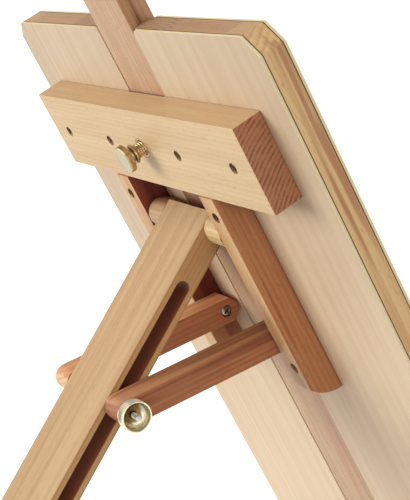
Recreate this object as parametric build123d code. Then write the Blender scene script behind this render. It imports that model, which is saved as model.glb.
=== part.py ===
"""Tabletop easel: a hollow-core drawing board on a folding rear leg.

Millimetres, +Z up, +Y towards the leg, origin on the table under the middle of the bounding box.
Most pieces are drawn in the board's own frame and then leaned back with it:
x runs across the board, v down the board from its top edge, n out of its back face.
Left and right are as seen from the front: left is -X, right is +X.
"""
import math
import os

from build123d import *

# ---- board -------------------------------------------------------------------------------
lean_deg = 29.3                 # board's lean from the vertical
board_width = 330.0
board_height = 440.0
ply = 2.3                       # each face ply
core = 12.5                     # solid beech frame between the plies
board_thickness = core + 2 * ply
corner_clip = 11.0              # clipped top corners
stile_width = 30.0
rail_height = 30.0              # top and bottom members of the frame
glue_line = 0.02                # keeps glued neighbours face to face without overlap

# ---- mast and its channel ----------------------------------------------------------------
channel_half = 25.2
mast_half = 24.4
mast_inset = 0.3                # mast faces sit this far inside the board's faces
mast_top_v = -72.0
mast_bottom_v = 395.0
guide_width = 43.0
tongue_depth = 4.0              # V tongue of each guide, in the mast's V groove
tongue_half = 4.0
groove_play = 0.35
channel_corner = 5.0            # rounded ply corners beside the mast

# ---- crossbar and side rails -------------------------------------------------------------
crossbar_half = 137.3
crossbar_v = (43.7, 97.4)
crossbar_thickness = 18.8
crossbar_relief = 0.9           # shallow notch that lets the mast slide underneath
crossbar_screw_x = (114.6, 47.6)
crossbar_screw_v = 70.5
rail_inner_x = 49.8
rail_outer_x = 66.3
rail_thickness = 19.7
rail_end_v = 245.5
rail_end_radius = 23.5
rail_screw_x = 58.6
rail_screw_v = (111.0, 220.0)
lock_block_v = (48.0, 93.0)

# ---- flat-head wood screws ---------------------------------------------------------------
head_diameter = 7.0
head_depth = 2.6
head_sink = 1.0                 # heads sit this far below the wood, in a straight-sided hole
mouth_diameter = 7.2
shank_diameter = 3.6
hole_play = 0.05
recess_span = 3.8
recess_width = 0.9
recess_depth = 1.5
crossbar_screw_length = 30.0
rail_screw_length = 31.0

# ---- mast clamp --------------------------------------------------------------------------
clamp_v = 70.5
stud_diameter = 9.5
thread_pitch = 1.5
insert_diameter = 13.5
insert_length = 12.0
stud_stand_off = 6.1            # bare thread between the crossbar and the collar
collar_diameter = 12.8
collar_thickness = 1.7
neck_diameter = 8.6
neck_length = 2.6
knob_diameter = 17.8
knob_thickness = 4.2
pad_diameter = 10.0
pad_thickness = 1.6
clamp_room = 0.5                # radial, around the pad and stud inside the crossbar
running_play = 0.06             # radial, for threads and pivots
face_play = 0.02                # between faces that only touch
loosen_turns = 3

# ---- leg ---------------------------------------------------------------------------------
pivot_n = 10.1                  # height of the leg and arm pivots over the board's back
leg_pivot_v = 129.0
leg_angle_deg = 62.15           # from the board, opened as far as it goes
leg_half_width = 28.6
leg_thickness = 17.1
leg_offset = 0.95               # leg and slot are centred this far behind the pivot
leg_top = 6.0                   # wood beyond the pivot
slot_start = 38.0
slot_end = 192.0
slot_width = 8.9
pivot_pin_diameter = 6.0
pivot_pin_half = 58.0
spacer_diameter = 19.4
spacer_gap = 0.6

# ---- arms --------------------------------------------------------------------------------
arm_pivot_v = 205.0
arm_angle_deg = 100.95
arm_length = 110.0              # pivot to clamp bolt
arm_inner_x = 29.2
arm_outer_x = 48.7
arm_height = 16.2
arm_tail = 9.0                  # wood beyond the pivot, corners clipped
arm_tail_clip = 5.0
arm_screw_shank = 4.5
arm_screw_head = 7.4
arm_screw_head_height = 2.4
arm_screw_sink = 3.0
arm_sink_diameter = 8.0
arm_screw_end_x = 62.0

# ---- lock nut and bolt -------------------------------------------------------------------
bolt_diameter = 4.0
bolt_head_diameter = 12.0
bolt_head_height = 3.0
bolt_end_x = -60.0
washer_diameter = 15.0
washer_thickness = 1.0
nut_diameter = 19.4
nut_length = 8.0
nut_wall = 1.5
nut_base = 2.6

# ---- canvas ledge and top holder ---------------------------------------------------------
ledge_v = (412.0, 430.0)
ledge_depth = 38.0
lip_thickness = 8.0
lip_rise = 7.0
lip_round = 2.5
ledge_screw_x = (130.0, 46.0)
ledge_screw_length = 38.0
holder_half = 46.0
holder_height = 34.0
holder_depth = 25.0
holder_rebate_height = 9.0
holder_lip = 6.5
holder_screw_x = 13.0
holder_screw_drop = 12.0
holder_screw_length = 32.0

edge_round = 0.8                # eased edges of the solid beech pieces
block_round = 0.5
overcut = 1.0                   # how far a cutter runs past a face

# ---- frames ------------------------------------------------------------------------------
lean = math.radians(lean_deg)
front_n = -board_thickness
lip_front_n = front_n - ledge_depth - lip_thickness
core_n = (-(ply + core), -ply)

leg_tilt = math.radians(leg_angle_deg) - lean
pivot_z = (board_height - leg_pivot_v) * math.cos(lean) - pivot_n * math.sin(lean)
pivot_y = (board_height - leg_pivot_v) * math.sin(lean) + pivot_n * math.cos(lean)
leg_reach = pivot_z / math.cos(leg_tilt)
foot_y = pivot_y + pivot_z * math.tan(leg_tilt) + leg_offset / math.cos(leg_tilt)
heel_y = foot_y + leg_thickness / 2 / math.cos(leg_tilt)
lip_corner_y = (board_height - ledge_v[1]) * math.sin(lean) + lip_front_n * math.cos(lean)
toe_y = lip_corner_y + lip_round * (math.sin(lean) + math.cos(lean) - 1)
base_y = -(heel_y + toe_y) / 2   # where the board's lower back edge meets the table

top_edge = (0, base_y + board_height * math.sin(lean), board_height * math.cos(lean))
back_normal = (0, math.cos(lean), -math.sin(lean))
board_frame = Plane(origin=top_edge, x_dir=(1, 0, 0), z_dir=back_normal)


def board_point(x, v, n):
    """World position of a point given in the board's frame."""
    return board_frame.from_local_coords((x, v, n))


def on_board(shape):
    """Lean a shape drawn in the board's frame back with the board."""
    return board_frame.location * shape


def swing_frame(v, angle_deg):
    """Frame at a pivot in the board's frame: x across, y along a limb that leaves the board."""
    return Pos(0, v, pivot_n) * Rot(X=angle_deg)


leg_frame = swing_frame(leg_pivot_v, leg_angle_deg)
arm_frame = swing_frame(arm_pivot_v, arm_angle_deg)


# ---- plain shapes ------------------------------------------------------------------------
def block(x, v, n):
    """Box from three (low, high) pairs."""
    size = [high - low for low, high in (x, v, n)]
    middle = [(high + low) / 2 for low, high in (x, v, n)]
    return Pos(*middle) * Box(*size)


def mirrored(x, side):
    """A (near, far) distance from the middle, as a (low, high) pair on one side."""
    return tuple(sorted((side * x[0], side * x[1])))


def disc(diameter, height):
    """Cylinder standing on z = 0."""
    return Cylinder(diameter / 2, height, align=(Align.CENTER, Align.CENTER, Align.MIN))


def cross_disc(diameter, x):
    """Cylinder lying across the easel between two x positions, on the frame's x axis."""
    low, high = min(x), max(x)
    return Pos(low, 0, 0) * Rot(Y=90) * disc(diameter, high - low)


def eased(shape, radius):
    """Round every edge of a block slightly."""
    return fillet(shape.edges(), radius)


def eased_sides(shape):
    """Round the edges all round the two faces that look across the easel."""
    return fillet(shape.faces().filter_by(Axis.X).edges(), block_round)


def cut(shape, *tools):
    """Subtract several tools."""
    for tool in tools:
        shape = shape - tool
    return shape


# ---- screws ------------------------------------------------------------------------------
def phillips(depth):
    """Cross recess, sunk into z = 0."""
    bar = Box(recess_span, recess_width, depth, align=(Align.CENTER, Align.CENTER, Align.MAX))
    return bar + Rot(Z=90) * bar


def screw_envelope(length, play):
    """Countersunk head with its top at z = 0, shank pointing down."""
    head = Cone(shank_diameter / 2 + play, head_diameter / 2 + play, head_depth,
                align=(Align.CENTER, Align.CENTER, Align.MAX))
    shank = Cylinder(shank_diameter / 2 + play, length,
                     align=(Align.CENTER, Align.CENTER, Align.MAX))
    return head + shank


def flat_screw(length):
    """Countersunk wood screw with a Phillips recess and a pointed tip."""
    tip = Pos(0, 0, -length) * Cone(shank_diameter / 2, shank_diameter / 6, shank_diameter,
                                    align=(Align.CENTER, Align.CENTER, Align.MAX))
    return screw_envelope(length, 0) + tip - phillips(recess_depth)


def screw_hole(length):
    """What a screw of this length needs cleared, from the wood's surface to the tip."""
    mouth = Pos(0, 0, -head_sink) * disc(mouth_diameter, head_sink + overcut)
    below = screw_envelope(length + shank_diameter + hole_play, hole_play)
    return mouth + Pos(0, 0, -head_sink) * below


def screws_at(places, length):
    """Group of sunk screws, each a solid of its own."""
    return [Pos(*place) * Pos(0, 0, -head_sink) * flat_screw(length) for place in places]


def holes_at(places, length):
    """Matching holes."""
    return [Pos(*place) * screw_hole(length) for place in places]


crossbar_screw_places = [(side * x, crossbar_screw_v, crossbar_thickness)
                         for side in (-1, 1) for x in crossbar_screw_x]
rail_screw_places = [(side * rail_screw_x, v, rail_thickness)
                     for side in (-1, 1) for v in rail_screw_v]
ledge_screw_v = (ledge_v[0] + ledge_v[1]) / 2
ledge_screw_places = [(side * x, ledge_screw_v, 0) for side in (-1, 1) for x in ledge_screw_x]
holder_screw_v = mast_top_v + holder_screw_drop
holder_screw_places = [(side * holder_screw_x, holder_screw_v, -mast_inset) for side in (-1, 1)]

board_holes = (holes_at(crossbar_screw_places, crossbar_screw_length)
               + holes_at(rail_screw_places, rail_screw_length)
               + holes_at(ledge_screw_places, ledge_screw_length))


# ---- board -------------------------------------------------------------------------------
def clipped_outline(side):
    """Keeps a half board's clipped outer top corner."""
    edge = board_width / 2
    corner = Polyline((side * edge, 0), (side * (edge - corner_clip), 0),
                      (side * edge, corner_clip), close=True)
    return Pos(0, 0, front_n - overcut) * extrude(make_face(corner),
                                                  board_thickness + 2 * overcut)


def face_ply(side, n):
    """Half of a face ply, from the channel to the side of the board."""
    sheet = block(mirrored((channel_half, board_width / 2), side), (0, board_height), n)
    inner_top = sheet.edges().filter_by(Axis.Z).group_by(Axis.Y)[0].sort_by(
        lambda edge: abs(edge.center().X))[0]
    sheet = fillet(inner_top, channel_corner)
    return cut(sheet, clipped_outline(side), *board_holes)


def stile(side):
    """Outer upright of the frame."""
    x = mirrored((board_width / 2 - stile_width, board_width / 2), side)
    bar = block(x, (0, board_height - rail_height), core_n)
    return cut(bar, clipped_outline(side), *board_holes)


def guide(side):
    """Inner upright of the frame, with the V tongue that guides the mast."""
    x = mirrored((channel_half, channel_half + guide_width), side)
    bar = block(x, (0, board_height - rail_height), core_n)
    middle_n = sum(core_n) / 2
    tongue = Polyline((side * channel_half, middle_n - tongue_half),
                      (side * channel_half, middle_n + tongue_half),
                      (side * (channel_half - tongue_depth), middle_n), close=True)
    ridge = extrude(Plane.XZ * make_face(tongue), -(board_height - rail_height))
    return cut(bar + ridge, *board_holes)


def frame_bar(side, v):
    """Cross member of the frame between a guide and a stile."""
    x = mirrored((channel_half + guide_width, board_width / 2 - stile_width), side)
    return cut(block(x, v, core_n), *board_holes)


def bottom_rail():
    """Bottom member, across both halves: it joins them and stops the mast."""
    bar = block((-board_width / 2, board_width / 2),
                (board_height - rail_height, board_height), core_n)
    return cut(bar, *board_holes)


# ---- crossbar, rails ---------------------------------------------------------------------
def crossbar():
    """Block that ties the two halves together and carries the mast clamp."""
    bar = eased(block((-crossbar_half, crossbar_half), crossbar_v, (0, crossbar_thickness)),
                block_round)
    relief = block((-channel_half, channel_half),
                   (crossbar_v[0] - overcut, crossbar_v[1] + overcut),
                   (-overcut, crossbar_relief))
    pad_room = Pos(0, clamp_v, -overcut) * disc(
        pad_diameter + 2 * clamp_room,
        overcut + pad_thickness + loosen_turns * thread_pitch + clamp_room)
    insert_room = Pos(0, clamp_v, crossbar_thickness - insert_length) * disc(
        insert_diameter, insert_length + overcut)
    stud_room = Pos(0, clamp_v, -overcut) * disc(stud_diameter + 2 * clamp_room,
                                                 crossbar_thickness)
    return cut(bar, relief, pad_room, insert_room, stud_room,
               *holes_at(crossbar_screw_places, crossbar_screw_length))


def threaded_insert():
    """Brass bush pressed into the crossbar."""
    body = Pos(0, clamp_v, crossbar_thickness - insert_length) * disc(
        insert_diameter - 2 * face_play, insert_length)
    bore = Pos(0, clamp_v, 0) * disc(stud_diameter + 2 * running_play,
                                     crossbar_thickness + overcut)
    return body - bore


def side_rail(side):
    """Rail that carries the leg and arm pivots, rounded at its lower end."""
    x = mirrored((rail_inner_x, rail_outer_x), side)
    bar = block(x, (crossbar_v[1], rail_end_v), (0, rail_thickness))
    rounding = Pos(x[0] - overcut, rail_end_v - rail_end_radius, 0) * Rot(Y=90) * disc(
        2 * rail_end_radius, x[1] - x[0] + 2 * overcut)
    keep = block((x[0] - overcut, x[1] + overcut),
                 (crossbar_v[1] - overcut, rail_end_v - rail_end_radius / 2),
                 (-overcut, rail_thickness + overcut))
    bar = bar & (rounding + keep)
    bar = eased_sides(bar)
    leg_bore = Pos(0, leg_pivot_v, pivot_n) * cross_disc(
        pivot_pin_diameter + 2 * face_play, mirrored((0, pivot_pin_half), side))
    arm_bore = Pos(0, arm_pivot_v, pivot_n) * cross_disc(
        arm_screw_shank + 2 * face_play, mirrored((0, arm_screw_end_x + face_play), side))
    return cut(bar, leg_bore, arm_bore, *holes_at(rail_screw_places, rail_screw_length))


# ---- mast --------------------------------------------------------------------------------
def mast():
    """Sliding upright, as thick as the board, with a V groove along each side."""
    bar = block((-mast_half, mast_half), (mast_top_v, mast_bottom_v),
                (front_n + mast_inset, -mast_inset))
    bar = fillet(bar.edges().filter_by(Axis.Y), edge_round)
    middle_n = sum(core_n) / 2
    reach = channel_half - tongue_depth - groove_play
    half = tongue_half + groove_play + (mast_half - channel_half)
    grooves = []
    for side in (-1, 1):
        notch = Polyline((side * (mast_half + overcut), middle_n - half - overcut),
                         (side * (mast_half + overcut), middle_n + half + overcut),
                         (side * reach, middle_n), close=True)
        length = mast_bottom_v - mast_top_v + 2 * overcut
        grooves.append(Pos(0, mast_top_v - overcut, 0)
                       * extrude(Plane.XZ * make_face(notch), -length))
    return cut(bar, *grooves, *holes_at(holder_screw_places, holder_screw_length))


def canvas_holder():
    """Block on the mast's front that hooks over the top of a canvas."""
    back_n = front_n + mast_inset - glue_line
    top = block((-holder_half, holder_half), (mast_top_v, mast_top_v + holder_height),
                (back_n - holder_depth, back_n))
    top = eased(top, edge_round)
    rebate = block((-holder_half - overcut, holder_half + overcut),
                   (mast_top_v + holder_height - holder_rebate_height,
                    mast_top_v + holder_height + overcut),
                   (back_n - holder_depth + holder_lip, back_n + overcut))
    return cut(top, rebate, *holes_at(holder_screw_places, holder_screw_length))


# ---- mast clamp --------------------------------------------------------------------------
pad_bottom_n = -mast_inset + face_play
stud_tip_n = pad_bottom_n + pad_thickness + face_play
collar_n = crossbar_thickness + stud_stand_off
neck_n = collar_n + collar_thickness
knob_n = neck_n + neck_length


def clamp_pad():
    """Loose disc between the stud's tip and the mast."""
    return Pos(0, clamp_v, pad_bottom_n) * disc(pad_diameter, pad_thickness)


def thumbscrew():
    """Stud, collar, waisted neck and flat knob, turned from one piece."""
    at = Pos(0, clamp_v, 0)
    stud = at * Pos(0, 0, stud_tip_n) * disc(stud_diameter, collar_n - stud_tip_n)
    collar = at * Pos(0, 0, collar_n) * disc(collar_diameter, collar_thickness)
    neck = at * Pos(0, 0, neck_n) * disc(neck_diameter, neck_length)
    knob = at * Pos(0, 0, knob_n) * disc(knob_diameter, knob_thickness)
    return stud + collar + neck + knob


# ---- leg ---------------------------------------------------------------------------------
def leg():
    """Slotted leg, cut level at the foot."""
    half = leg_thickness / 2
    bar = block((-leg_half_width, leg_half_width), (-leg_top, leg_reach + leg_thickness),
                (leg_offset - half, leg_offset + half))
    slot_middle = (slot_start + slot_end) / 2
    slot_place = Pos(-leg_half_width - overcut, slot_middle, leg_offset)
    slot = slot_place * Rot(Y=90) * Rot(Z=90) * extrude(
        SlotOverall(slot_end - slot_start, slot_width), 2 * (leg_half_width + overcut))
    bore = cross_disc(pivot_pin_diameter + 2 * running_play,
                      (-leg_half_width - overcut, leg_half_width + overcut))
    standing = on_board(leg_frame * cut(eased_sides(bar - slot), bore))
    table = Box(4 * board_width, 4 * board_height, 2 * leg_thickness,
                align=(Align.CENTER, Align.CENTER, Align.MAX))
    return standing - table


def spacer(side):
    """Turned wooden barrel between the leg and a rail."""
    x = mirrored((leg_half_width + glue_line, rail_inner_x - spacer_gap), side)
    barrel = cross_disc(spacer_diameter, x)
    bore = cross_disc(pivot_pin_diameter + 2 * running_play,
                      (x[0] - overcut, x[1] + overcut))
    return leg_frame * (barrel - bore)


def leg_pin():
    """Steel rod, blind in both rails, that the leg and its spacers turn on."""
    rod = cross_disc(pivot_pin_diameter, (-pivot_pin_half + face_play, pivot_pin_half - face_play))
    return Pos(0, leg_pivot_v, pivot_n) * rod


# ---- arms --------------------------------------------------------------------------------
def arm(side):
    """Arm from a rail to the clamp bolt: clipped at the rail, round at the bolt."""
    x = mirrored((arm_inner_x, arm_outer_x), side)
    half = arm_height / 2
    bar = block(x, (-arm_tail, arm_length), (-half, half))
    tail = bar.edges().filter_by(Axis.X).group_by(Axis.Y)[0]
    bar = chamfer(tail, arm_tail_clip)
    bar = eased_sides(bar + Pos(0, arm_length, 0) * cross_disc(arm_height, x))
    sink = cross_disc(arm_sink_diameter,
                      mirrored((arm_inner_x - overcut, arm_inner_x + arm_screw_sink), side))
    pivot = cross_disc(arm_screw_shank + 2 * running_play,
                       mirrored((arm_inner_x - overcut, arm_outer_x + overcut), side))
    bolt = Pos(0, arm_length, 0) * cross_disc(bolt_diameter + 2 * face_play,
                                              mirrored((0, arm_outer_x + overcut), side))
    return arm_frame * cut(bar, sink, pivot, bolt)


def arm_screw(side):
    """Pan-head pivot screw, driven through an arm into a rail."""
    seat = arm_inner_x + arm_screw_sink - face_play
    head = disc(arm_screw_head, arm_screw_head_height)
    top_edges = head.edges().filter_by(GeomType.CIRCLE).group_by(Axis.Z)[-1]
    head = fillet(top_edges, edge_round)
    head = head - Pos(0, 0, arm_screw_head_height) * phillips(recess_depth)
    head = Pos(side * seat, 0, 0) * Rot(Y=-90 * side) * head
    shank = cross_disc(arm_screw_shank, mirrored((seat, arm_screw_end_x), side))
    return Pos(0, arm_pivot_v, pivot_n) * (head + shank)


# ---- lock nut and bolt -------------------------------------------------------------------
washer_x = (-arm_outer_x - face_play - washer_thickness, -arm_outer_x - face_play)
nut_x = (washer_x[0] - face_play - nut_length, washer_x[0] - face_play)


def clamp_bolt():
    """Bolt through both arms and the leg's slot, its head on the right arm."""
    head = Pos(arm_outer_x + face_play, 0, 0) * Rot(Y=90) * disc(bolt_head_diameter,
                                                                 bolt_head_height)
    rim = head.edges().filter_by(GeomType.CIRCLE).group_by(Axis.X)[-1]
    head = fillet(rim, bolt_head_height / 2)
    shank = cross_disc(bolt_diameter, (bolt_end_x, arm_outer_x + face_play))
    return arm_frame * Pos(0, arm_length, 0) * (head + shank)


def washer():
    """Plain washer under the lock nut."""
    ring = cross_disc(washer_diameter, washer_x)
    bore = cross_disc(bolt_diameter + 2 * running_play, (washer_x[0] - overcut, overcut))
    return arm_frame * Pos(0, arm_length, 0) * (ring - bore)


def lock_nut():
    """Hollow round nut: a cup whose floor is threaded on the bolt."""
    body = cross_disc(nut_diameter, nut_x)
    hollow = cross_disc(nut_diameter - 2 * nut_wall,
                        (nut_x[0] - overcut, nut_x[1] - nut_base))
    bore = cross_disc(bolt_diameter + 2 * running_play, (nut_x[0] - overcut, nut_x[1] + overcut))
    return arm_frame * Pos(0, arm_length, 0) * (body - hollow - bore)


# ---- canvas ledge ------------------------------------------------------------------------
def ledge():
    """Shelf across the foot of the board that a canvas stands on."""
    n = (front_n - ledge_depth, front_n - glue_line)
    bar = block((-board_width / 2, board_width / 2), ledge_v, n)
    return cut(bar, *holes_at(ledge_screw_places, ledge_screw_length))


def ledge_lip():
    """Strip along the ledge's front edge that keeps a canvas from slipping off."""
    n = (front_n - ledge_depth - lip_thickness, front_n - ledge_depth - glue_line)
    strip = block((-board_width / 2, board_width / 2), (ledge_v[0] - lip_rise, ledge_v[1]), n)
    return fillet(strip.edges().filter_by(Axis.X), lip_round)


# ---- every node --------------------------------------------------------------------------
front_ply_n = (front_n, core_n[0])
back_ply_n = (core_n[1], 0)
nodes = {}
for name, side in (("left", -1), ("right", 1)):
    nodes[f"front_panel_{name}"] = on_board(face_ply(side, front_ply_n))
    nodes[f"back_panel_{name}"] = on_board(face_ply(side, back_ply_n))
    nodes[f"stile_{name}"] = on_board(stile(side))
    nodes[f"mast_guide_{name}"] = on_board(guide(side))
    nodes[f"top_rail_{name}"] = on_board(frame_bar(side, (0, rail_height)))
    nodes[f"lock_block_{name}"] = on_board(frame_bar(side, lock_block_v))
    nodes[f"side_rail_{name}"] = on_board(side_rail(side))
    nodes[f"leg_spacer_{name}"] = on_board(spacer(side))
    nodes[f"arm_{name}"] = on_board(arm(side))
    nodes[f"arm_pivot_screw_{name}"] = on_board(arm_screw(side))

nodes["bottom_rail"] = on_board(bottom_rail())
nodes["crossbar"] = on_board(crossbar())
nodes["threaded_insert"] = on_board(threaded_insert())
nodes["mast"] = on_board(mast())
nodes["canvas_holder"] = on_board(canvas_holder())
nodes["clamp_pad"] = on_board(clamp_pad())
nodes["thumbscrew"] = on_board(thumbscrew())
nodes["leg"] = leg()
nodes["leg_pivot_pin"] = on_board(leg_pin())
nodes["clamp_bolt"] = on_board(clamp_bolt())
nodes["clamp_washer"] = on_board(washer())
nodes["lock_nut"] = on_board(lock_nut())
nodes["ledge"] = on_board(ledge())
nodes["ledge_lip"] = on_board(ledge_lip())

screw_groups = {
    "crossbar_screws": screws_at(crossbar_screw_places, crossbar_screw_length),
    "side_rail_screws": screws_at(rail_screw_places, rail_screw_length),
    "ledge_screws": screws_at(ledge_screw_places, ledge_screw_length),
    "canvas_holder_screws": screws_at(holder_screw_places, holder_screw_length),
}
for group_name, screws in screw_groups.items():
    nodes[group_name] = Compound(children=[on_board(screw) for screw in screws])

if __name__ == "__main__":
    os.makedirs("parts", exist_ok=True)
    for node_name, shape in nodes.items():
        export_step(shape, f"parts/{node_name}.step")
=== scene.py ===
"""Looks of the tabletop easel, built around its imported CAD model. Metres, +Z up."""
import math

import bmesh
import bpy
from mathutils import Matrix, Vector


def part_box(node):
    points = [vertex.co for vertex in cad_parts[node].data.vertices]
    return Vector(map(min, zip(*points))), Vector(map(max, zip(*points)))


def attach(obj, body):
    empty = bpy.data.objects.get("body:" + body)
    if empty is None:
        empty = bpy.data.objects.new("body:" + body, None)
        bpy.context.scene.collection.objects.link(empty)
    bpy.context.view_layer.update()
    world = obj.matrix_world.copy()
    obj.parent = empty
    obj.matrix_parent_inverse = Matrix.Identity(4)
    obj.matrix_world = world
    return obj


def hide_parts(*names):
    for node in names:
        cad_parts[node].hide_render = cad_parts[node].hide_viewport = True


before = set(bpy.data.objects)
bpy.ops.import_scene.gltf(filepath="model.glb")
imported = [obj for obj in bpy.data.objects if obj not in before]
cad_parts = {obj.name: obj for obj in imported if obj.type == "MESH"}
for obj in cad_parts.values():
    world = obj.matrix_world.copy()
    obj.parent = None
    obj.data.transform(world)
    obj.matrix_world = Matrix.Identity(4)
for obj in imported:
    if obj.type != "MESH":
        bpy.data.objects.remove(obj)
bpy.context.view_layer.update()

MM = 0.001

# ---- sizes, in metres; each V is a distance down the board from its top edge --------------
LEAN = math.radians(29.3)           # of the board, from the vertical
BOARD_HEIGHT = 0.440
BOARD_THICKNESS = 0.0171
PLY = 0.0023                        # thickness of each face ply
PIVOT_N = 0.0101                    # axes of the leg and the arms, behind the board
LEG_PIVOT_V = 0.129
LEG_ANGLE = math.radians(62.15)     # of the leg, from the board
LEG_OFFSET = 0.00095                # middle of the leg, behind its pivot
SLOT_HALF = 0.00445
ARM_PIVOT_V = 0.205
ARM_ANGLE = math.radians(100.95)    # of the arms, from the board
ARM_LENGTH = 0.110                  # from the pivot to the clamp bolt
CLAMP_V = 0.0705
SIDES = {-1: "left", 1: "right"}    # by the sign of X

# ---- the frames that the pieces are drawn in ----------------------------------------------
# X runs across the easel. Y runs down the board, or along the leg or the arms, and Z out of
# the back. The bolt and the clamp screw are turned round X, which OUTWARD brings to Z.
back_edge_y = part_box("back_panel_left")[1].y
BOARD = Matrix((
    (1, 0, 0, 0),
    (0, -math.sin(LEAN), math.cos(LEAN), back_edge_y),
    (0, -math.cos(LEAN), -math.sin(LEAN), BOARD_HEIGHT * math.cos(LEAN)),
    (0, 0, 0, 1)))
LEG = BOARD @ Matrix.Translation((0, LEG_PIVOT_V, PIVOT_N)) @ Matrix.Rotation(LEG_ANGLE, 4, "X")
ARM = BOARD @ Matrix.Translation((0, ARM_PIVOT_V, PIVOT_N)) @ Matrix.Rotation(ARM_ANGLE, 4, "X")
BOLT = ARM @ Matrix.Translation((0, ARM_LENGTH, 0))
OUTWARD = Matrix.Rotation(math.radians(-90), 4, "Y")
CLAMP = BOARD @ Matrix.Translation((0, CLAMP_V, 0)) @ OUTWARD

# ---- the ways the grain runs: each is the rotation that brings it to Z ---------------------
ALONG_BOARD = (LEAN, 0, 0)
ACROSS_BOARD = (LEAN, math.radians(90), 0)
ALONG_LEG = (LEAN - LEG_ANGLE, 0, 0)
ALONG_ARM = (LEAN - ARM_ANGLE, 0, 0)
ACROSS = (0, math.radians(90), 0)


def tilted(grain_turn, point):
    """Where a point comes after the first part of a grain's rotation, the tilt round X."""
    return Matrix.Rotation(grain_turn[0], 3, "X") @ point


def along_board(v):
    """Where a distance down the board comes, along the grain of a piece that follows it."""
    return tilted(ALONG_BOARD, BOARD @ Vector((0, v, 0))).z


# ---- shader building ----------------------------------------------------------------------
class Nodes:
    """A node tree that is filled one call at a time. A value is a number, a colour or a
    socket."""

    def __init__(self, tree):
        self.tree = tree

    def put(self, socket, value):
        if isinstance(value, bpy.types.NodeSocket):
            self.tree.links.new(value, socket)
        else:
            socket.default_value = value

    def add(self, kind, settings=None, **inputs):
        node = self.tree.nodes.new("ShaderNode" + kind)
        for key, value in (settings or {}).items():
            setattr(node, key, value)
        for key, value in inputs.items():
            self.put(node.inputs[key.replace("_", " ")], value)
        return node

    def math(self, operation, first, second=0.0, clamp=False):
        node = self.add("Math", {"operation": operation, "use_clamp": clamp})
        self.put(node.inputs[0], first)
        self.put(node.inputs[1], second)
        return node.outputs[0]

    def times(self, first, second):
        return self.math("MULTIPLY", first, second)

    def minus(self, first, second):
        return self.math("SUBTRACT", first, second)

    def absolute(self, value):
        return self.math("ABSOLUTE", value)

    def around(self, value, middle, strength):
        """How far a value is from its middle, made stronger or weaker."""
        return self.times(self.minus(value, middle), strength)

    def total(self, first, *others):
        """Sum of two values or more, kept between 0 and 1 at the end."""
        for index, other in enumerate(others, 1):
            first = self.math("ADD", first, other, clamp=index == len(others))
        return first

    def span(self, value, low, high, to_low=0.0, to_high=1.0):
        """Smooth step from low to high."""
        return self.add("MapRange", {"interpolation_type": "SMOOTHSTEP"}, Value=value,
                        From_Min=low, From_Max=high, To_Min=to_low,
                        To_Max=to_high).outputs[0]

    def fade(self, value, low, high):
        """Smooth step down: 1 up to low, and 0 from high on."""
        return self.span(value, low, high, 1.0, 0.0)

    def coordinate(self, vector, axis):
        """One coordinate of a vector."""
        return self.add("SeparateXYZ", Vector=vector).outputs[axis]

    def length(self, vector):
        node = self.add("VectorMath", {"operation": "LENGTH"})
        self.put(node.inputs[0], vector)
        return node.outputs["Value"]

    def mix(self, factor, first, second, blend="MIX"):
        """Mixed colour. A Mix node's sockets 6 and 7 in and 2 out are the colour ones."""
        node = self.add("Mix", {"data_type": "RGBA", "blend_type": blend})
        self.put(node.inputs[0], factor)
        self.put(node.inputs[6], first)
        self.put(node.inputs[7], second)
        return node.outputs[2]

    def shade(self, mask, colour, tint):
        """Colour multiplied by a tint, where a mask is 1."""
        return self.mix(mask, colour, tint, "MULTIPLY")


class Shader(Nodes):
    """A material, with the surface that its nodes lead to."""

    def __init__(self, name, **constants):
        self.material = bpy.data.materials.new(name)
        self.material.use_nodes = True
        super().__init__(self.material.node_tree)
        self.surface = self.tree.nodes["Principled BSDF"]
        for socket, value in constants.items():
            self.surface.inputs[socket.replace("_", " ")].default_value = value

    def place(self):
        return self.add("TexCoord").outputs["Object"]

    def stretched(self, vector, scale, shift=(0, 0, 0)):
        return self.add("Mapping", Vector=vector, Scale=scale, Location=shift).outputs[0]

    def grain(self, turn):
        """Place, turned so that the grain runs along Z."""
        return self.add("Mapping", Vector=self.place(), Rotation=turn).outputs[0]

    def facing(self, turn, axis):
        """How far the surface looks along an axis or against it, turned as the grain is."""
        normal = self.add("TexCoord").outputs["Normal"]
        turned = self.add("Mapping", {"vector_type": "NORMAL"}, Vector=normal,
                          Rotation=turn).outputs[0]
        return self.absolute(self.coordinate(turned, axis))

    def noise(self, vector, detail=2.0, roughness=0.6, distortion=0.0):
        return self.add("TexNoise", Vector=vector, Scale=1.0, Detail=detail,
                        Roughness=roughness, Distortion=distortion).outputs[0]

    def fibres(self, grain, across, along, shift=(0, 0, 0), **kind):
        """Noise drawn out along the grain. across and along are its waves in a metre."""
        return self.noise(self.stretched(grain, (across, across, along), shift), **kind)

    def rings(self, grain, shift, scale, profile, wobble, across, along):
        """Waves round an axis that runs along the grain, and that shift brings to Z. across
        and along say how fast the waves wobble in the two directions."""
        return self.add("TexWave", {"wave_type": "RINGS", "rings_direction": "Z",
                                    "wave_profile": profile},
                        Vector=self.stretched(grain, (1, 1, along), shift), Scale=scale,
                        Distortion=wobble, Detail=2.0, Detail_Scale=across,
                        Detail_Roughness=0.5).outputs[1]

    def corners(self, reach, closed, clear, samples):
        """Mask of painted shade: 1 in corners where the share of free space within reach is
        below closed, and 0 where it is above clear."""
        free = self.add("AmbientOcclusion", {"samples": samples}, Distance=reach).outputs[1]
        return self.fade(free, closed, clear)

    def finish(self, colour, roughness, height, strength, depth):
        """Join the colour, the roughness and a bump to the surface."""
        bump = self.add("Bump", Strength=strength, Distance=depth, Height=height)
        self.put(self.surface.inputs["Base Color"], colour)
        self.put(self.surface.inputs["Roughness"], roughness)
        self.put(self.surface.inputs["Normal"], bump.outputs[0])
        return self.material


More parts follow.
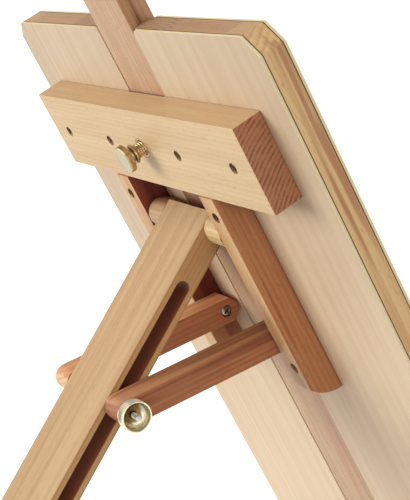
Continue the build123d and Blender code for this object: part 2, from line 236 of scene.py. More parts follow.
def srgb(red, green, blue):
    """Linear colour from the usual 0-255 values."""
    def linear(value):
        value /= 255
        return value / 12.92 if value < 0.04045 else ((value + 0.055) / 1.055) ** 2.4
    return (linear(red), linear(green), linear(blue), 1.0)


def scaled(colour, red, green, blue):
    return (colour[0] * red, colour[1] * green, colour[2] * blue, 1.0)


# tints that multiply a colour: painted shade, and in the nut's cup a painted dark reflection too
SLOT_SHADE = (0.72, 0.36, 0.25, 1.0)    # painted shade on the walls of the leg's slot
INNER_SHADE = (0.62, 0.34, 0.42, 1.0)   # painted shade on the inner sides of the rails
DEEP_SHADE = (0.34, 0.15, 0.16, 1.0)    # painted shade in corners of wood
SOFT_SHADE = (0.80, 0.66, 0.60, 1.0)    # painted shade in corners of the leg and the arms
PLY_SHADE = (0.66, 0.50, 0.46, 1.0)     # painted shade in corners of ply
METAL_SHADE = (0.26, 0.17, 0.10, 1.0)       # painted shade in corners of metal
# lighter painted shade in corners of the thumbscrew
LIGHT_METAL_SHADE = (0.40, 0.28, 0.18, 1.0)
CUP_DARK_REFLECTION = (0.22, 0.14, 0.07, 1.0)     # painted dark reflection and shade in the cup of the lock nut

# reach, thresholds and samples of the painted shade in corners of wood and of metal
WOOD_CORNERS = {"reach": 60 * MM, "closed": 0.12, "clear": 0.55, "samples": 6}
METAL_CORNERS = {"reach": 12 * MM, "closed": 0.06, "clear": 0.50, "samples": 8}
WAVE_RING = 0.314                       # metres from ring to ring in a wave of scale 1
INNER_SIDE_V = (0.190, 0.215)           # the rails' painted inner shade fades out between these
NUT_RIDGES = 48


# ---- wood ---------------------------------------------------------------------------------
def late_wood(shader, grain, pith, ring, seed):
    """1 in the dark end of each growth ring. The rings run round an axis beside the piece."""
    saw = shader.rings(grain, (*pith, seed), scale=WAVE_RING / ring, profile="SAW",
                       wobble=5.0, across=0.25, along=0.13)
    return shader.times(shader.span(saw, 0.25, 0.86), shader.fade(saw, 0.90, 1.0))


def inner_shade_mask(shader, grain, sides, half):
    """Mask of painted shade on the sides nearer than half to the middle of the easel, as far
    down the board as INNER_SIDE_V."""
    across = shader.absolute(shader.coordinate(shader.place(), "X"))
    inner = shader.times(sides, shader.fade(across, half, half + 1.0 * MM))
    full_v, end_v = INNER_SIDE_V
    return shader.times(inner, shader.span(
        shader.coordinate(grain, "Z"), along_board(end_v), along_board(full_v)))


def slot_shade_mask(shader, grain, sides, slot_at):
    """Painted shade on the walls of the leg's slot: near the leg's middle plane, and not its
    sides.
    """
    away = shader.absolute(shader.minus(shader.coordinate(grain, "Y"), slot_at))
    inside = shader.fade(away, SLOT_HALF + 0.2 * MM, SLOT_HALF + 0.6 * MM)
    return shader.times(inside, shader.minus(1.0, sides))


def end_grain(shader, grain, late, streak, light, dark, seed):
    """The cut ends: broken lines of late wood, and speckles."""
    broken = shader.times(late, shader.span(streak, 0.36, 0.62, 0.25, 0.9))
    speckle = shader.fibres(grain, 1700, 300, (seed, 0, 3))
    return shader.mix(shader.total(broken, shader.around(speckle, 0.45, 0.8)), light, dark)


def wood(name, turn, light, dark, red=None, ends=None, pith=(0.05, 0.09), ring=3.2 * MM,
         seed=0.0, ring_share=0.35, fleck_share=0.35, streak_share=0.45, red_share=0.0,
         red_from=0.55, side_shade_and_tone=None, slot_at=None, deep_shade=DEEP_SHADE,
         inner_half=None):
    """Beech: growth rings, streaks, fibres and flecks along the grain, and darker ends.

    turn brings the grain to Z, pith then shifts the axis of the rings to Z, and ring is
    their spacing. Each share says how much of a feature shows, and a higher red_from leaves
    less red. ends are the light and dark colours of the cut ends. The tint for surfaces that
    look along X, turned as the grain is, is part painted shade and part the redder tone of
    side grain. slot_at is the middle plane of the leg's slot, whose walls get painted shade,
    and inner_half is how far from the middle of the easel the inner sides with painted shade
    may be. Corners get painted shade as well."""
    shader = Shader(name, Specular_IOR_Level=0.35)
    grain = shader.grain(turn)
    late = late_wood(shader, grain, pith, ring, seed)
    streak = shader.fibres(grain, 170, 5, (seed, 1, 2), detail=3.0)
    fibre = shader.fibres(grain, 1500, 38, (seed, 5, 1))
    tone = shader.fibres(grain, 16, 4, (seed, 3, 7), roughness=0.5)
    pores = shader.fibres(grain, 950, 170, (seed, 2, 9), detail=1.0, roughness=0.4)
    flecks = shader.span(pores, 0.64, 0.74)

    weight = shader.total(shader.times(shader.span(streak, 0.3, 0.7), streak_share),
                          shader.times(late, ring_share),
                          shader.around(fibre, 0.5, 0.5), shader.around(tone, 0.5, 0.9))
    colour = shader.mix(weight, light, dark)
    if red is not None:
        flame = shader.fibres(grain, 95, 6, (seed, 8, 4), roughness=0.55, distortion=0.4)
        flame = shader.times(shader.span(flame, red_from, red_from + 0.13), red_share)
        colour = shader.mix(flame, colour, red)
    colour = shader.mix(shader.times(flecks, fleck_share), colour,
                        scaled(dark, 0.55, 0.36, 0.28))

    sides = shader.span(shader.facing(turn, "X"), 0.55, 0.85)
    # painted shade, with the redder tone of side grain, on sides that look along X
    if side_shade_and_tone is not None:
        colour = shader.shade(sides, colour, side_shade_and_tone)
    if inner_half is not None:
        # painted shade on the rails' inner sides, under the crossbar
        colour = shader.shade(inner_shade_mask(shader, grain, sides, inner_half), colour, INNER_SHADE)
    if slot_at is not None:
        # painted shade inside the leg's slot
        colour = shader.shade(slot_shade_mask(shader, grain, sides, slot_at), colour, SLOT_SHADE)
    # painted shade in corners
    colour = shader.shade(shader.corners(**WOOD_CORNERS), colour, deep_shade)

    light_end, dark_end = ends or (dark, scaled(dark, 0.5, 0.5, 0.5))
    colour = shader.mix(shader.span(shader.facing(turn, "Z"), 0.6, 0.9), colour,
                        end_grain(shader, grain, late, streak, light_end, dark_end, seed))
    return shader.finish(colour, shader.math("ADD", shader.times(fibre, 0.22), 0.40),
                         shader.minus(fibre, shader.times(flecks, 0.8)), 0.25, 0.12 * MM)


def ply_face(shader, grain, fibre, light, dark):
    """The outer veneer, quietly grained, with painted light and shade: lighter towards the
    bottom, darker towards the top.
    """
    arches = shader.rings(grain, (0.02, 0.31, 0), scale=60.0, profile="SIN",
                          wobble=7.0, across=0.12, along=0.035)
    streak = shader.fibres(grain, 130, 3.5, detail=3.0)
    tone = shader.fibres(grain, 11, 4, roughness=0.5)
    weight = shader.total(shader.times(shader.span(streak, 0.3, 0.7), 0.4),
                          shader.times(arches, 0.18), shader.around(fibre, 0.5, 0.55),
                          shader.around(tone, 0.5, 0.8))
    painted_light_slope = shader.span(shader.coordinate(grain, "Z"), along_board(BOARD_HEIGHT), along_board(0),
                      1.12, 0.85)
    return shader.shade(1.0, shader.mix(weight, light, dark), painted_light_slope)


def ply_edge(shader, grain, light, dark, glue):
    """Three layers, the middle one across the others, and the glue line next to the core."""
    back_at = tilted(ALONG_BOARD, BOARD @ Vector((0, 0, 0))).y
    depth = shader.minus(back_at, shader.coordinate(grain, "Y"))
    from_middle = shader.absolute(shader.minus(depth, BOARD_THICKNESS / 2))
    over_core = shader.minus(from_middle, BOARD_THICKNESS / 2 - PLY)
    cross_layer = shader.times(shader.span(over_core, 0.8 * MM, 0.95 * MM),
                               shader.fade(over_core, 1.5 * MM, 1.65 * MM))
    streak = shader.fibres(grain, 700, 60)
    weight = shader.total(shader.times(cross_layer, 0.55), shader.around(streak, 0.5, 0.6))
    glue_line = shader.fade(over_core, 0.55 * MM, 0.75 * MM)
    return shader.mix(glue_line, shader.mix(weight, light, dark), glue)


def plywood(name, face_colours, edge_colours, glue):
    """Birch ply, with the light and dark colours of its face and of its edges, and painted shade
    in its corners.
    """
    shader = Shader(name, Specular_IOR_Level=0.35)
    grain = shader.grain(ALONG_BOARD)
    fibre = shader.fibres(grain, 1300, 22)
    is_face = shader.span(shader.facing(ALONG_BOARD, "Y"), 0.55, 0.8)
    colour = shader.mix(is_face, ply_edge(shader, grain, *edge_colours, glue),
                        ply_face(shader, grain, fibre, *face_colours))
    colour = shader.shade(shader.corners(**WOOD_CORNERS), colour, PLY_SHADE)
    return shader.finish(colour, shader.math("ADD", shader.times(fibre, 0.2), 0.42), fibre,
                         0.18, 0.1 * MM)


# ---- metal --------------------------------------------------------------------------------
def metal(name, colour, worn, roughness, face=None, corner_shade=METAL_SHADE, painted_dark_by_place=None):
    """Polished or brushed metal with faint blotches and fine scratches, and painted shade in its
    corners. face is a painted reflection: the colour of surfaces that look along the board's
    normal. The last argument is a function that darkens the colour by place, with painted
    shade and painted reflections."""
    shader = Shader(name, Metallic=1.0)
    place = shader.place()
    blotch = shader.fibres(place, 260, 260, detail=3.0)
    scratch = shader.noise(shader.stretched(place, (4200, 900, 900)))
    colour = shader.mix(shader.span(blotch, 0.38, 0.68), colour, worn)
    if face is not None:
        is_face = shader.span(shader.facing(ALONG_BOARD, "Y"), 0.8, 0.95)
        colour = shader.mix(is_face, colour, face)
    if painted_dark_by_place is not None:
        colour = painted_dark_by_place(shader, place, colour)
    colour = shader.shade(shader.corners(**METAL_CORNERS), colour, corner_shade)
    return shader.finish(colour, shader.math("ADD", shader.times(scratch, 0.18), roughness),
                         scratch, 0.06, 0.05 * MM)


def nut_reflection_and_shade(shader, place, colour):
    """Painted dark reflection and shade in the bottom of the nut's cup, more to one side, and
    painted shade between its ridges.
    """
    centred = shader.stretched(place, (0, 1, 1), (0, -BOLT.translation.y, -BOLT.translation.z))
    aside = shader.stretched(centred, (1, 1, 1), (0, -1.3 * MM, -1.3 * MM))
    in_cup = shader.fade(shader.length(aside), 5.0 * MM, 7.6 * MM)
    colour = shader.shade(in_cup, colour, CUP_DARK_REFLECTION)

    angle = shader.math("ARCTAN2", shader.coordinate(centred, "Z"),
                        shader.coordinate(centred, "Y"))
    first_ridge = math.atan2(BOLT[2][1], BOLT[1][1])    # it stands on the bolt's Y axis
    ridge = shader.math("COSINE", shader.around(angle, first_ridge, NUT_RIDGES))
    groove = shader.times(shader.fade(ridge, -0.9, -0.1),
                          shader.span(shader.length(centred), 9.0 * MM, 9.1 * MM))
    return shader.shade(groove, colour, METAL_SHADE)


# ---- materials ----------------------------------------------------------------------------
PLYWOOD = plywood("birch_ply", (srgb(233, 208, 174), srgb(215, 184, 147)),
                  (srgb(246, 228, 180), srgb(222, 192, 138)), srgb(84, 50, 20))
EDGE = wood("board_edge_beech", ALONG_BOARD, srgb(241, 203, 144), srgb(205, 156, 100),
            red=srgb(158, 88, 58), red_share=0.65, red_from=0.54, seed=3.1, fleck_share=0.3,
            ends=(srgb(204, 162, 116), srgb(182, 138, 96)))
GUIDE = wood("guide_beech", ALONG_BOARD, srgb(216, 176, 128), srgb(184, 140, 94), seed=6.9,
             fleck_share=0.3, ends=(srgb(182, 142, 108), srgb(156, 114, 82)))
TOP_EDGE = wood("top_edge_beech", ACROSS_BOARD, srgb(194, 153, 113), srgb(172, 126, 87),
                seed=1.7, fleck_share=0.4)
crossbar_pith = tilted(ACROSS_BOARD, BOARD @ Vector((0, 0.1655, -0.0456)))
CROSSBAR = wood("crossbar_beech", ACROSS_BOARD, srgb(227, 198, 153), srgb(208, 172, 125),
                ends=(srgb(183, 123, 84), srgb(120, 69, 43)),
                pith=(-crossbar_pith.z, -crossbar_pith.y), ring=2.7 * MM, seed=5.3,
                ring_share=0.2, fleck_share=0.2, side_shade_and_tone=(0.82, 0.75, 0.69, 1.0))
RAIL = wood("rail_beech", ALONG_BOARD, srgb(222, 184, 133), srgb(191, 140, 91),
            red=srgb(150, 84, 54), red_share=0.5, seed=7.7, ring_share=0.36,
            streak_share=0.6, side_shade_and_tone=(0.76, 0.53, 0.43, 1.0), inner_half=0.055)
MAST = wood("mast_beech", ALONG_BOARD, srgb(216, 183, 146), srgb(190, 149, 113),
            red=srgb(196, 132, 106), red_share=0.35, seed=2.4, pith=(0.02, 0.12),
            ring_share=0.45, streak_share=0.55, side_shade_and_tone=(0.85, 0.72, 0.62, 1.0))
leg_middle = tilted(ALONG_LEG, LEG @ Vector((0, 0, 0))).y + LEG_OFFSET
LEG_WOOD = wood("leg_beech", ALONG_LEG, srgb(202, 166, 120), srgb(175, 134, 88), seed=9.2,
                pith=(0.04, 0.11), ring_share=0.30, streak_share=0.6,
                side_shade_and_tone=(1.0, 0.86, 0.71, 1.0), slot_at=leg_middle, deep_shade=SOFT_SHADE)
ARM_WOOD = wood("arm_beech", ALONG_ARM, srgb(206, 150, 102), srgb(166, 104, 66),
                red=srgb(134, 70, 44), red_share=0.6, seed=4.6, ring_share=0.4,
                streak_share=0.6, side_shade_and_tone=(0.74, 0.58, 0.50, 1.0), deep_shade=SOFT_SHADE)
# lighter copy of the arm's beech for the right arm: painted light
LIT_ARM = wood("arm_beech_painted_light", ALONG_ARM, srgb(230, 170, 118), srgb(188, 120, 78),
                red=srgb(146, 78, 50), red_share=0.45, seed=5.9,
                ends=(srgb(232, 190, 142), srgb(206, 158, 112)),
                side_shade_and_tone=(0.78, 0.60, 0.52, 1.0), deep_shade=SOFT_SHADE)
SPACER = wood("spacer_beech", ACROSS, srgb(222, 192, 138), srgb(190, 152, 98), seed=6.1)
# darker copy of the spacer's beech for the right spacer: painted shade
SHADED_SPACER = wood("spacer_beech_painted_shade", ACROSS, srgb(200, 164, 116), srgb(170, 128, 82),
                  seed=6.6)
LEDGE = wood("ledge_beech", ACROSS_BOARD, srgb(220, 178, 134), srgb(190, 142, 98), seed=8.8)

BRASS = metal("polished_brass", srgb(250, 245, 222), srgb(234, 222, 180), 0.10)
# with painted dark reflection and shade in its cup, and painted shade between its ridges
NUT_BRASS = metal("nut_brass", srgb(250, 245, 222), srgb(234, 222, 180), 0.10,
                  painted_dark_by_place=nut_reflection_and_shade)
# its faces that look along the board's normal get a painted reflection
KNOB_BRASS = metal("knob_brass", srgb(204, 176, 132), srgb(166, 134, 90), 0.22,
                   face=srgb(170, 164, 128), corner_shade=LIGHT_METAL_SHADE)
DARK_BRASS = metal("dark_brass", srgb(190, 152, 92), srgb(150, 112, 62), 0.24)
# dark brown for the sunk wood screws: painted shade of their holes
SHADED_SCREW_STEEL = metal("screw_steel_painted_shade", srgb(104, 88, 62), srgb(74, 58, 38), 0.34)
ZINC = metal("zinc_steel", srgb(176, 168, 148), srgb(120, 110, 88), 0.30)
STEEL = metal("bright_steel", srgb(212, 210, 200), srgb(160, 158, 148), 0.12)

# a CAD node has the look of the longest of these names that its own name starts with
LOOKS = {
    "front_panel": PLYWOOD, "back_panel": PLYWOOD, "stile": EDGE, "mast_guide": GUIDE,
    "top_rail": TOP_EDGE, "lock_block": TOP_EDGE, "bottom_rail": TOP_EDGE,
    "crossbar": CROSSBAR, "crossbar_screws": SHADED_SCREW_STEEL,
    "side_rail": RAIL, "side_rail_screws": SHADED_SCREW_STEEL,
    "mast": MAST, "canvas_holder": MAST, "canvas_holder_screws": SHADED_SCREW_STEEL,
    "leg": LEG_WOOD, "leg_pivot_pin": STEEL,
    "leg_spacer_left": SPACER, "leg_spacer_right": SHADED_SPACER,
    "arm_left": ARM_WOOD, "arm_right": LIT_ARM, "arm_pivot_screw": ZINC,
    "ledge": LEDGE, "ledge_screws": SHADED_SCREW_STEEL,
    "clamp_bolt": STEEL, "clamp_washer": BRASS, "lock_nut": NUT_BRASS,
    "thumbscrew": KNOB_BRASS, "clamp_pad": BRASS, "threaded_insert": DARK_BRASS,
}


def look_for(node):
    return LOOKS[max((name for name in LOOKS if node.startswith(name)), key=len)]


for node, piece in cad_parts.items():
    piece.data.materials.clear()
    piece.data.materials.append(look_for(node))


# ---- turned pieces, in mm along and round an X axis ----------------------------------------
AXIS_RADIUS = 0.02                  # stands for no radius, where a profile meets its axis


def make_object(name, mesh):
    made = bpy.data.objects.new(name, mesh)
    bpy.context.scene.collection.objects.link(made)
    return made


def turn(profile, place=Matrix(), relief=None, segments=64, loop=False):
    """Turn (along, radius) pairs, in mm, round the X axis of a place. relief changes the
    radius by position, for threads and knurls. A loop is a ring with no ends."""
    shape = bmesh.new()
    rings = []
    for along, radius in profile:
        ring = []
        for step in range(segments):
            angle = 2 * math.pi * step / segments
            reach = relief(along, radius, angle) if relief else radius
            ring.append(shape.verts.new(place @ Vector((
                along * MM, reach * math.cos(angle) * MM, reach * math.sin(angle) * MM))))
        rings.append(ring)
    pairs = list(zip(rings, rings[1:]))
    if loop:
        pairs.append((rings[-1], rings[0]))
    else:
        shape.faces.new(rings[0])
        shape.faces.new(rings[-1])
    for first, second in pairs:
        for step in range(segments):
            after = (step + 1) % segments
            shape.faces.new((first[step], first[after], second[after], second[step]))
    bmesh.ops.recalc_face_normals(shape, faces=shape.faces)
    return shape


def runs(start, end, step, radius):
    """Evenly spaced rings of one radius, for a threaded or knurled stretch."""
    count = max(1, round(abs(end - start) / step))
    return [(start + (end - start) * index / count, radius) for index in range(count + 1)]


def thread(start, end, pitch, depth):
    """Relief of a screw thread between two positions, fading out at its ends."""
    low, high = min(start, end), max(start, end)

    def relief(along, radius, angle):
        if along <= low or along >= high:
            return radius
        phase = (along / pitch - angle / (2 * math.pi)) % 1.0
        fade = min(1.0, (along - low) / pitch, (high - along) / pitch)
        return radius - depth * fade * (1 - abs(2 * phase - 1)) ** 1.3
    return relief


def knurl(bands, ridges, depth):
    """Relief of straight ridges along the axis, within (low, high) bands."""
    def relief(along, radius, angle):
        if not any(low <= along <= high for low, high in bands):
            return radius
        return radius - depth * (0.5 - 0.5 * math.cos(ridges * angle))
    return relief


def cross_cutter(span, width, depth, top=0.0):
    """Tapered cross of a screwdriver, which enters a head along -X from its top. It starts
    above the head, to cut it cleanly."""
    def outline(half_span, half_width):
        corners = []
        for turns in range(4):
            swing = Matrix.Rotation(math.radians(90) * turns, 2)
            corners.append(swing @ Vector((half_span, -half_width)))
            corners.append(swing @ Vector((half_span, half_width)))
            corners.append(swing @ Vector((half_width, half_width)))
        return corners

    above = 0.4
    shape = bmesh.new()
    rings = []
    for along, half_span, half_width in ((above, span * 0.56, width * 0.56),
                                         (-depth, span * 0.22, width * 0.3)):
        rings.append([shape.verts.new((along * MM, y * MM, z * MM))
                      for y, z in outline(half_span, half_width)])
    for ring in rings:
        shape.faces.new(ring)
    corner_count = len(rings[0])
    for step in range(corner_count):
        after = (step + 1) % corner_count
        shape.faces.new((rings[0][step], rings[0][after], rings[1][after], rings[1][step]))
    bmesh.ops.recalc_face_normals(shape, faces=shape.faces)
    bmesh.ops.translate(shape, vec=(top * MM, 0, 0), verts=shape.verts)
    return shape


def carved(shape, cutter):
    """One closed shape minus another."""
    made = []
    for part in (shape, cutter):
        mesh = bpy.data.meshes.new("part")
        part.to_mesh(mesh)
        part.free()
        made.append(make_object("part", mesh))
    modifier = made[0].modifiers.new("cut", "BOOLEAN")
    modifier.operation = "DIFFERENCE"
    modifier.solver = "EXACT"
    modifier.object = made[1]
    evaluated = made[0].evaluated_get(bpy.context.evaluated_depsgraph_get())
    result = bmesh.new()
    result.from_mesh(evaluated.to_mesh())
    evaluated.to_mesh_clear()
    for part in made:
        mesh = part.data
        bpy.data.objects.remove(part)
        bpy.data.meshes.remove(mesh)
    return result


def copies(shape, *places):
    """The same shape at one place or more, in one mesh."""
    master = bpy.data.meshes.new("master")
    shape.to_mesh(master)
    shape.free()
    result = bmesh.new()
    for place in places:
        start = len(result.verts)
        result.from_mesh(master)
        result.verts.ensure_lookup_table()
        bmesh.ops.transform(result, matrix=place, verts=result.verts[start:])
    bpy.data.meshes.remove(master)
    return result


def make_piece(name, shape, body, node, sharp=32.0):
    """Finish a shape as a piece that rides on a body and stands for its CAD node. sharp is
    the angle, in degrees, from which an edge isn't smoothed."""
    mesh = bpy.data.meshes.new(name)
    shape.to_mesh(mesh)
    shape.free()
    mesh.polygons.foreach_set("use_smooth", [True] * len(mesh.polygons))
    mesh.set_sharp_from_angle(angle=math.radians(sharp))
    mesh.materials.append(look_for(node))
    piece = make_object(name, mesh)
    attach(piece, body)
    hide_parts(node)


# ---- wood screws, in mm -------------------------------------------------------------------
CROSSBAR_THICKNESS = 18.8
RAIL_THICKNESS = 19.7
MAST_INSET = 0.3                    # the mast's faces are this far inside the board's
HEAD_SINK = 1.0                     # flat heads sit this far below the wood
CROSSBAR_SCREW_X = (114.6, 47.6)
CROSSBAR_SCREW_V = 70.5
RAIL_SCREW_X = 58.6
RAIL_SCREW_V = (111.0, 220.0)
LEDGE_SCREW_X = (130.0, 46.0)
LEDGE_SCREW_V = 421.0
HOLDER_SCREW_X = 13.0
HOLDER_SCREW_V = -60.0


def flat_screw(length):
    """Countersunk wood screw: cross recess, bare neck, coarse thread and, from its length
    on, a point."""
    thread_start = -8.4
    point = -length
    profile = [(0, AXIS_RADIUS), (0, 3.30), (-0.12, 3.46), (-0.35, 3.50), (-2.6, 1.80),
               (-8.0, 1.75)]
    profile += runs(thread_start, point, 0.3, 1.78)
    profile += [(point - 1.6, 1.2), (point - 3.4, 0.3), (point - 3.55, AXIS_RADIUS)]
    body = turn(profile, relief=thread(thread_start, point, pitch=1.8, depth=0.55),
                segments=24)
    return carved(body, cross_cutter(span=4.0, width=1.05, depth=1.6))


def screws(node, body, length, places):
    """Flat screws, each (x, V, height of the wood over the back, degrees of its recess)."""
    shape = copies(flat_screw(length), *(
        BOARD @ Matrix.Translation((x * MM, v * MM, (height - HEAD_SINK) * MM))
        @ Matrix.Rotation(math.radians(degrees), 4, "Z") @ OUTWARD
        for x, v, height, degrees in places))
    make_piece(node + "_detail", shape, body, node)


screws("crossbar_screws", "board", 30.0, [
    (side * x, CROSSBAR_SCREW_V, CROSSBAR_THICKNESS, 31 * side + x)
    for side in SIDES for x in CROSSBAR_SCREW_X])
screws("side_rail_screws", "board", 31.0, [
    (side * RAIL_SCREW_X, v, RAIL_THICKNESS, v * side) for side in SIDES for v in RAIL_SCREW_V])
screws("ledge_screws", "board", 38.0, [
    (side * x, LEDGE_SCREW_V, 0, 17 * side + x) for side in SIDES for x in LEDGE_SCREW_X])
screws("canvas_holder_screws", "mast", 32.0, [
    (side * HOLDER_SCREW_X, HOLDER_SCREW_V, -MAST_INSET, 25 * side) for side in SIDES])

# ---- arm pivot screws, in mm --------------------------------------------------------------
ARM_INNER = 29.2
ARM_RECESS = 3.0
FACE_PLAY = 0.02
ARM_SEAT = ARM_INNER + ARM_RECESS - FACE_PLAY
ARM_SCREW_TIP = 61.9


def arm_pivot_screw(side):
    """Pan head screw from the arm's inner side into the rail."""
    head_top = 2.4
    reach = ARM_SCREW_TIP - ARM_SEAT
    thread_start, thread_end = -15.0, -reach + 2.5
    profile = [(head_top, AXIS_RADIUS), (head_top, 1.6), (2.3, 2.5), (2.0, 3.2), (1.5, 3.6),
               (0.9, 3.7), (0.12, 3.7), (0, 3.6), (0, 2.25), (-14.0, 2.25)]
    profile += runs(thread_start, thread_end, 0.3, 2.22)
    profile += [(-reach + 1.2, 1.2), (-reach, AXIS_RADIUS)]
    body = turn(profile, relief=thread(thread_start, thread_end, pitch=1.8, depth=0.6),
                segments=32)
    place = (BOARD @ Matrix.Translation((side * ARM_SEAT * MM, ARM_PIVOT_V, PIVOT_N))
             @ Matrix.Rotation(math.radians(90 + 90 * side), 4, "Z")
             @ Matrix.Rotation(math.radians(20), 4, "X"))
    cutter = cross_cutter(span=4.2, width=1.1, depth=1.7, top=head_top)
    return copies(carved(body, cutter), place)


for side, name in SIDES.items():
    make_piece("arm_pivot_screw_detail_" + name, arm_pivot_screw(side), "board",
               "arm_pivot_screw_" + name)

# ---- lock nut, washer and bolt, in mm from the middle of the easel --------------------------
NUT_KNURL = (-56.1, -51.5)          # ridges run over these two stretches of the nut
NUT_RIM = (-57.3, -56.9)


def lock_nut():
    """Hollow nut: a collar, the knurl, a beaded rim and a cup down to the bolt's end."""
    base = -49.74
    low, high = NUT_KNURL
    collar = [(base, 2.06), (base, 8.7), (-50.15, 9.3), (-50.85, 9.3), (-51.05, 9.05),
              (-51.3, 9.05)]
    rim = [(-56.25, 9.1), (-56.45, 9.1), (-56.65, 9.45), (-56.95, 9.68), (-57.25, 9.66),
           (-57.55, 9.4), (-57.7, 9.12), (-57.74, 8.95), (-57.72, 8.75), (-57.5, 8.58)]
    cup = [(-57.0, 8.5), (-56.2, 8.35), (-55.4, 8.1), (-54.6, 7.65), (-53.9, 7.0),
           (-53.3, 6.1), (-52.9, 5.0), (-52.7, 3.9), (-52.65, 3.0), (-52.5, 2.2),
           (-52.2, 2.06)]
    profile = collar + runs(high, low, 0.46, 9.62) + rim + cup
    ridges = knurl((NUT_KNURL, NUT_RIM), NUT_RIDGES, depth=0.5)
    return turn(profile, BOLT, ridges, segments=6 * NUT_RIDGES, loop=True)


def clamp_washer():
    """Flat ring with eased outer edges, between the arm and the nut."""
    profile = [(-48.72, 2.1), (-48.72, 7.2), (-48.82, 7.42), (-49.05, 7.5), (-49.4, 7.5),
               (-49.62, 7.42), (-49.72, 7.2), (-49.72, 2.1)]
    return turn(profile, BOLT, segments=96, loop=True)


def clamp_bolt():
    """Bolt with a thread under the nut, and a domed head with a cross recess."""
    start, end = -59.5, -36.0
    head_top = 51.72
    profile = [(-60.0, AXIS_RADIUS), (-60.0, 1.45), (-59.85, 1.72), (-59.6, 1.98)]
    profile += runs(start, end, 0.0875, 1.99)
    profile += [(-35.5, 1.98), (48.6, 1.98), (48.72, 2.1), (48.72, 5.75), (48.85, 5.95),
                (49.3, 6.0), (50.0, 5.8), (50.7, 5.2), (51.2, 4.3), (51.55, 3.1),
                (51.7, 1.6), (head_top, AXIS_RADIUS)]
    body = turn(profile, relief=thread(start, end, pitch=0.7, depth=0.36), segments=40)
    cutter = cross_cutter(span=4.6, width=1.2, depth=1.9, top=head_top)
    return copies(carved(body, cutter), BOLT)


make_piece("lock_nut_detail", lock_nut(), "lock_nut", "lock_nut", sharp=50)
make_piece("clamp_washer_detail", clamp_washer(), "clamp_washer", "clamp_washer")
make_piece("clamp_bolt_detail", clamp_bolt(), "arms", "clamp_bolt")

# ---- mast clamp, in mm from the board's back ------------------------------------------------
STUD_THREAD = (2.3, 24.6)
KNOB_KNURL = (29.7, 32.8)


def thumbscrew():
    """Stud, collar, waisted neck and knurled knob, turned from one piece."""
    tip = 1.34
    stud = [(tip, AXIS_RADIUS), (tip, 3.9), (1.9, 4.5), (2.2, 4.72)]
    stud += runs(*STUD_THREAD, 0.1875, 4.75)
    collar = [(24.72, 4.3), (24.88, 4.4), (24.9, 5.9), (25.05, 6.25), (25.3, 6.4),
              (26.2, 6.4), (26.45, 6.25), (26.6, 5.9), (26.65, 4.9)]
    neck = [(26.9, 4.4), (27.4, 4.1), (28.2, 4.15), (28.8, 4.5), (29.1, 5.2), (29.22, 6.2)]
    knob = [(29.22, 7.9), (29.3, 8.3), (29.5, 8.6)]
    knob += runs(*KNOB_KNURL, 0.5, 8.88)
    knob += [(33.0, 8.6), (33.22, 8.3), (33.38, 7.9), (33.4, 7.4), (33.3, 6.9),
             (33.14, 6.6), (33.1, 6.0), (33.12, 3.5), (33.2, 1.2), (33.22, AXIS_RADIUS)]
    low, high = KNOB_KNURL
    stud_relief = thread(*STUD_THREAD, pitch=1.5, depth=0.7)
    knob_relief = knurl(((low - 0.01, high + 0.01),), ridges=72, depth=0.2)

    def relief(along, radius, angle):
        return knob_relief(along, stud_relief(along, radius, angle), angle)
    return turn(stud + collar + neck + knob, CLAMP, relief, segments=288)


def threaded_insert():
    """Brass tube in the crossbar, with a flared mouth, that the stud runs in."""
    profile = [(6.8, 4.82), (6.8, 6.5), (7.1, 6.73), (18.5, 6.73), (18.75, 6.5),
               (18.78, 6.0), (18.6, 5.4), (18.2, 4.9), (18.0, 4.82)]
    return turn(profile, CLAMP, segments=96, loop=True)


def clamp_pad():
    """Loose disc between the stud's tip and the mast."""
    profile = [(-0.28, AXIS_RADIUS), (-0.28, 4.6), (-0.12, 4.9), (0.1, 5.0), (1.1, 5.0),
               (1.25, 4.9), (1.32, 4.7), (1.32, AXIS_RADIUS)]
    return turn(profile, CLAMP, segments=96)


make_piece("thumbscrew_detail", thumbscrew(), "thumbscrew", "thumbscrew", sharp=50)
make_piece("threaded_insert_detail", threaded_insert(), "board", "threaded_insert")
make_piece("clamp_pad_detail", clamp_pad(), "clamp_pad", "clamp_pad")


# ---- leg spacers, in mm from the middle of the easel ----------------------------------------
def leg_spacer(side):
    """Barrel with rounded ends and a very slight waist, on the leg's pivot pin."""
    profile = [(28.62, 3.06), (28.62, 9.2), (28.75, 9.5), (29.05, 9.68), (31.5, 9.7),
               (39.0, 9.66), (46.5, 9.7), (47.97, 9.68), (48.27, 9.5), (48.4, 9.2),
               (48.4, 3.06)]
    return turn([(side * along, radius) for along, radius in profile], LEG, segments=96,
                loop=True)


for side, name in SIDES.items():
    make_piece("leg_spacer_detail_" + name, leg_spacer(side), "leg",
               "leg_spacer_" + name)


# ---- camera -------------------------------------------------------------------------------
def make_camera(lens, eye, right, forward):
    """Camera at a place and along two directions in the board's frame."""
    data = bpy.data.cameras.new("camera")
    data.sensor_width = 36.0
    data.lens = lens
    data.dof.use_dof = False
    data.clip_end = 50.0
    made = bpy.data.objects.new("camera", data)
    bpy.context.scene.collection.objects.link(made)
    eye = BOARD @ Vector(eye)
    right = (BOARD.to_3x3() @ Vector(right)).normalized()
    forward = BOARD.to_3x3() @ Vector(forward)
    forward = (forward - right * forward.dot(right)).normalized()
    up = right.cross(forward)
    made.matrix_world = Matrix((
        (right.x, up.x, -forward.x, eye.x),
        (right.y, up.y, -forward.y, eye.y),
        (right.z, up.z, -forward.z, eye.z),
        (0, 0, 0, 1)))
    return made


scene = bpy.context.scene
scene.camera = make_camera(lens=108.0, eye=(-0.81193, -0.19833, 0.29991),
                           right=(-0.45846, 0.43465, -0.77518),
                           forward=(0.87500, 0.37344, -0.30811))


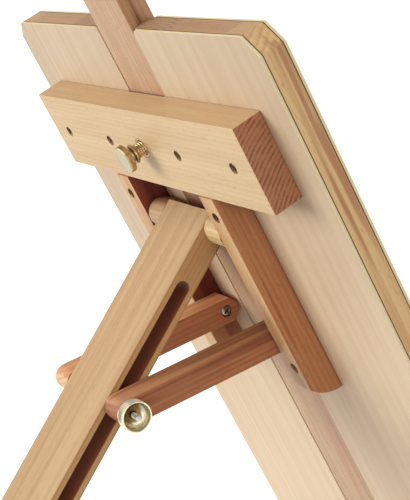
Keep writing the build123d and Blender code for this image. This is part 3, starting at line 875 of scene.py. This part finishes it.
# ---- floor and light ----------------------------------------------------------------------
def make_floor(half):
    """Pale floor, bright enough by itself to run into the sky without an edge."""
    mesh = bpy.data.meshes.new("floor")
    mesh.from_pydata([(-half, -half, 0), (half, -half, 0), (half, half, 0), (-half, half, 0)],
                     [], [(0, 1, 2, 3)])
    mesh.materials.append(Shader(
        "floor", Base_Color=(0.9, 0.9, 0.9, 1), Roughness=0.9, Specular_IOR_Level=0.1,
        Emission_Color=(1, 1, 1, 1), Emission_Strength=0.62).material)
    floor = make_object("floor", mesh)
    floor.visible_diffuse = False
    floor.visible_shadow = False


def make_sky():
    """White room, dimmer below, with a brighter band that hides the floor's far end."""
    world = bpy.data.worlds.new("studio")
    world.use_nodes = True
    nodes = Nodes(world.node_tree)
    height = nodes.coordinate(nodes.add("TexCoord").outputs["Generated"], "Z")
    room = nodes.span(height, -0.35, 0.15, 0.30, 0.62)
    horizon = nodes.span(nodes.absolute(height), 0.03, 0.09, 0.5, 0.0)
    background = world.node_tree.nodes["Background"]
    nodes.put(background.inputs["Color"], (1.0, 1.0, 1.0, 1.0))
    nodes.put(background.inputs["Strength"], nodes.math("ADD", room, horizon))
    return world


def softbox(name, place, aim, size, power):
    """Round soft light that looks at its aim."""
    data = bpy.data.lights.new(name, "AREA")
    data.shape = "DISK"
    data.size = size
    data.energy = power
    lamp = bpy.data.objects.new(name, data)
    bpy.context.scene.collection.objects.link(lamp)
    lamp.location = place
    lamp.visible_camera = False
    lamp.rotation_euler = (Vector(aim) - Vector(place)).to_track_quat("-Z", "Y").to_euler()


make_floor(60.0)
scene.world = make_sky()
softbox("key", (5.4, 11.4, 1.85), (0, 0, 0.25), size=8.0, power=920)
softbox("low", (0.2, 1.8, 0.12), (0, -0.1, 0.1), size=0.7, power=3)
softbox("front", (0.9, -2.0, 1.6), (0, 0, 0.25), size=1.4, power=16)
softbox("side", (-2.4, 0.7, 0.7), (0, 0, 0.25), size=1.2, power=11)
scene.view_settings.view_transform = "Standard"
scene.view_settings.look = "None"
